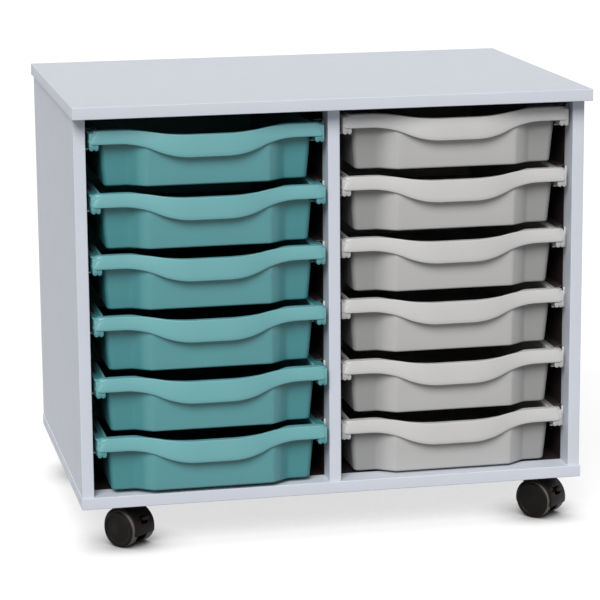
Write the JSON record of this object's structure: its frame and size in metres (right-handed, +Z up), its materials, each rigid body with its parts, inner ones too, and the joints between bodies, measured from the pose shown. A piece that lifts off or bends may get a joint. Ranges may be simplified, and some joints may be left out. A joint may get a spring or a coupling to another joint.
{
  "type": "mobile classroom tray storage unit",
  "caption": "Low mobile storage unit for a classroom: board carcass with two bays of shallow sliding trays on runners, on twin-wheel swivel casters, two of them braked.",
  "frame": {"origin": "on the floor under the middle of the top panel, which is the largest footprint", "axes": "+X to the right seen from the front, +Y from the open front to the back, +Z up"},
  "size_m": [0.695, 0.475, 0.602],
  "materials": {
    "melamine_board": "light cool-grey melamine facing on chipboard, fine satin texture",
    "edge_band": "2 mm edge band in the board's grey, satin",
    "back_board": "black-faced fibreboard inside the bays",
    "beech": "fluted beech dowel, hidden",
    "tray_teal": "teal injection-moulded plastic, soft sheen",
    "tray_grey": "light grey injection-moulded plastic, soft sheen",
    "runner_plastic": "translucent grey moulded runner",
    "zinc_steel": "bright zinc-plated steel",
    "caster_nylon": "black moulded nylon, fine texture",
    "wheel_nylon": "black moulded nylon wheel with a dark grey running band"
  },
  "bodies": {
    "carcass": {"top_panel": "melamine_board", "bottom_panel": "melamine_board", "left_side_panel": "melamine_board", "right_side_panel": "melamine_board", "centre_divider": "melamine_board", "back_panel": "back_board", "top_edge_bands": "edge_band", "bottom_edge_bands": "edge_band", "side_edge_bands": "edge_band", "divider_edge_band": "edge_band", "carcass_dowels": "beech", "runner_pair_left_6": "runner_plastic", "runner_pair_left_5": "runner_plastic", "runner_pair_left_4": "runner_plastic", "runner_pair_left_3": "runner_plastic", "runner_pair_left_2": "runner_plastic", "runner_pair_left_1": "runner_plastic", "runner_pair_right_6": "runner_plastic", "runner_pair_right_5": "runner_plastic", "runner_pair_right_4": "runner_plastic", "runner_pair_right_3": "runner_plastic", "runner_pair_right_2": "runner_plastic", "runner_pair_right_1": "runner_plastic", "runner_screws": "zinc_steel", "caster_plate_front_left": "zinc_steel", "caster_plate_front_right": "zinc_steel", "caster_plate_rear_left": "zinc_steel", "caster_plate_rear_right": "zinc_steel", "caster_screws": "zinc_steel"},
    "tray_left_1": {"tray_left_1": "tray_teal"},
    "tray_left_2": {"tray_left_2": "tray_teal"},
    "tray_left_3": {"tray_left_3": "tray_teal"},
    "tray_left_4": {"tray_left_4": "tray_teal"},
    "tray_left_5": {"tray_left_5": "tray_teal"},
    "tray_left_6": {"tray_left_6": "tray_teal"},
    "tray_right_1": {"tray_right_1": "tray_grey"},
    "tray_right_2": {"tray_right_2": "tray_grey"},
    "tray_right_3": {"tray_right_3": "tray_grey"},
    "tray_right_4": {"tray_right_4": "tray_grey"},
    "tray_right_5": {"tray_right_5": "tray_grey"},
    "tray_right_6": {"tray_right_6": "tray_grey"},
    "caster_front_left": {"caster_hood_front_left": "caster_nylon", "caster_axle_front_left": "zinc_steel"},
    "wheel_a_front_left": {"caster_wheel_a_front_left": "wheel_nylon"},
    "wheel_b_front_left": {"caster_wheel_b_front_left": "wheel_nylon"},
    "brake_front_left": {"brake_lever_front_left": "caster_nylon"},
    "caster_front_right": {"caster_hood_front_right": "caster_nylon", "caster_axle_front_right": "zinc_steel"},
    "wheel_a_front_right": {"caster_wheel_a_front_right": "wheel_nylon"},
    "wheel_b_front_right": {"caster_wheel_b_front_right": "wheel_nylon"},
    "brake_front_right": {"brake_lever_front_right": "caster_nylon"},
    "caster_rear_left": {"caster_hood_rear_left": "caster_nylon", "caster_axle_rear_left": "zinc_steel"},
    "wheel_a_rear_left": {"caster_wheel_a_rear_left": "wheel_nylon"},
    "wheel_b_rear_left": {"caster_wheel_b_rear_left": "wheel_nylon"},
    "caster_rear_right": {"caster_hood_rear_right": "caster_nylon", "caster_axle_rear_right": "zinc_steel"},
    "wheel_a_rear_right": {"caster_wheel_a_rear_right": "wheel_nylon"},
    "wheel_b_rear_right": {"caster_wheel_b_rear_right": "wheel_nylon"}
  },
  "joints": [
    {"name": "tray_left_1_slide", "type": "slide", "parent": "carcass", "child": "tray_left_1", "axis": [0, -1, 0], "range_m": [-0.0176, 0.4424]},
    {"name": "tray_left_2_slide", "type": "slide", "parent": "carcass", "child": "tray_left_2", "axis": [0, -1, 0], "range_m": [-0.0237, 0.4363]},
    {"name": "tray_left_3_slide", "type": "slide", "parent": "carcass", "child": "tray_left_3", "axis": [0, -1, 0], "range_m": [-0.0211, 0.4389]},
    {"name": "tray_left_4_slide", "type": "slide", "parent": "carcass", "child": "tray_left_4", "axis": [0, -1, 0], "range_m": [-0.0224, 0.4376]},
    {"name": "tray_left_5_slide", "type": "slide", "parent": "carcass", "child": "tray_left_5", "axis": [0, -1, 0], "range_m": [-0.027, 0.433]},
    {"name": "tray_left_6_slide", "type": "slide", "parent": "carcass", "child": "tray_left_6", "axis": [0, -1, 0], "range_m": [-0.0247, 0.4353]},
    {"name": "tray_right_1_slide", "type": "slide", "parent": "carcass", "child": "tray_right_1", "axis": [0, -1, 0], "range_m": [-0.0137, 0.4463]},
    {"name": "tray_right_2_slide", "type": "slide", "parent": "carcass", "child": "tray_right_2", "axis": [0, -1, 0], "range_m": [-0.0084, 0.4516]},
    {"name": "tray_right_3_slide", "type": "slide", "parent": "carcass", "child": "tray_right_3", "axis": [0, -1, 0], "range_m": [-0.0046, 0.4554]},
    {"name": "tray_right_4_slide", "type": "slide", "parent": "carcass", "child": "tray_right_4", "axis": [0, -1, 0], "range_m": [-0.0032, 0.4568]},
    {"name": "tray_right_5_slide", "type": "slide", "parent": "carcass", "child": "tray_right_5", "axis": [0, -1, 0], "range_m": [-0.0061, 0.4539]},
    {"name": "tray_right_6_slide", "type": "slide", "parent": "carcass", "child": "tray_right_6", "axis": [0, -1, 0], "range_m": [-0.0024, 0.4576]},
    {"name": "swivel_front_left", "type": "hinge", "parent": "carcass", "child": "caster_front_left", "pos_m": [-0.289, -0.1635, 0.0577], "axis": [0, 0, 1], "continuous": true},
    {"name": "spin_a_front_left", "type": "hinge", "parent": "caster_front_left", "child": "wheel_a_front_left", "pos_m": [-0.27719, -0.17708, 0.025], "axis": [-0.7547, -0.6561, 0], "continuous": true},
    {"name": "spin_b_front_left", "type": "hinge", "parent": "caster_front_left", "child": "wheel_b_front_left", "pos_m": [-0.27719, -0.17708, 0.025], "axis": [-0.7547, -0.6561, 0], "continuous": true},
    {"name": "brake_press_front_left", "type": "hinge", "parent": "caster_front_left", "child": "brake_front_left", "pos_m": [-0.26537, -0.19069, 0.03762], "axis": [0.7547, 0.6561, 0], "range_deg": [0, 16]},
    {"name": "swivel_front_right", "type": "hinge", "parent": "carcass", "child": "caster_front_right", "pos_m": [0.289, -0.1635, 0.0577], "axis": [0, 0, 1], "continuous": true},
    {"name": "spin_a_front_right", "type": "hinge", "parent": "caster_front_right", "child": "wheel_a_front_right", "pos_m": [0.30081, -0.17708, 0.025], "axis": [-0.7547, -0.6561, 0], "continuous": true},
    {"name": "spin_b_front_right", "type": "hinge", "parent": "caster_front_right", "child": "wheel_b_front_right", "pos_m": [0.30081, -0.17708, 0.025], "axis": [-0.7547, -0.6561, 0], "continuous": true},
    {"name": "brake_press_front_right", "type": "hinge", "parent": "caster_front_right", "child": "brake_front_right", "pos_m": [0.31263, -0.19069, 0.03762], "axis": [0.7547, 0.6561, 0], "range_deg": [0, 16]},
    {"name": "swivel_rear_left", "type": "hinge", "parent": "carcass", "child": "caster_rear_left", "pos_m": [-0.289, 0.1885, 0.0577], "axis": [0, 0, 1], "continuous": true},
    {"name": "spin_a_rear_left", "type": "hinge", "parent": "caster_rear_left", "child": "wheel_a_rear_left", "pos_m": [-0.28111, 0.17232, 0.025], "axis": [-0.8988, -0.4384, 0], "continuous": true},
    {"name": "spin_b_rear_left", "type": "hinge", "parent": "caster_rear_left", "child": "wheel_b_rear_left", "pos_m": [-0.28111, 0.17232, 0.025], "axis": [-0.8988, -0.4384, 0], "continuous": true},
    {"name": "swivel_rear_right", "type": "hinge", "parent": "carcass", "child": "caster_rear_right", "pos_m": [0.289, 0.1885, 0.0577], "axis": [0, 0, 1], "continuous": true},
    {"name": "spin_a_rear_right", "type": "hinge", "parent": "caster_rear_right", "child": "wheel_a_rear_right", "pos_m": [0.30392, 0.17844, 0.025], "axis": [-0.5592, -0.829, 0], "continuous": true},
    {"name": "spin_b_rear_right", "type": "hinge", "parent": "caster_rear_right", "child": "wheel_b_rear_right", "pos_m": [0.30392, 0.17844, 0.025], "axis": [-0.5592, -0.829, 0], "continuous": true}
  ]
}
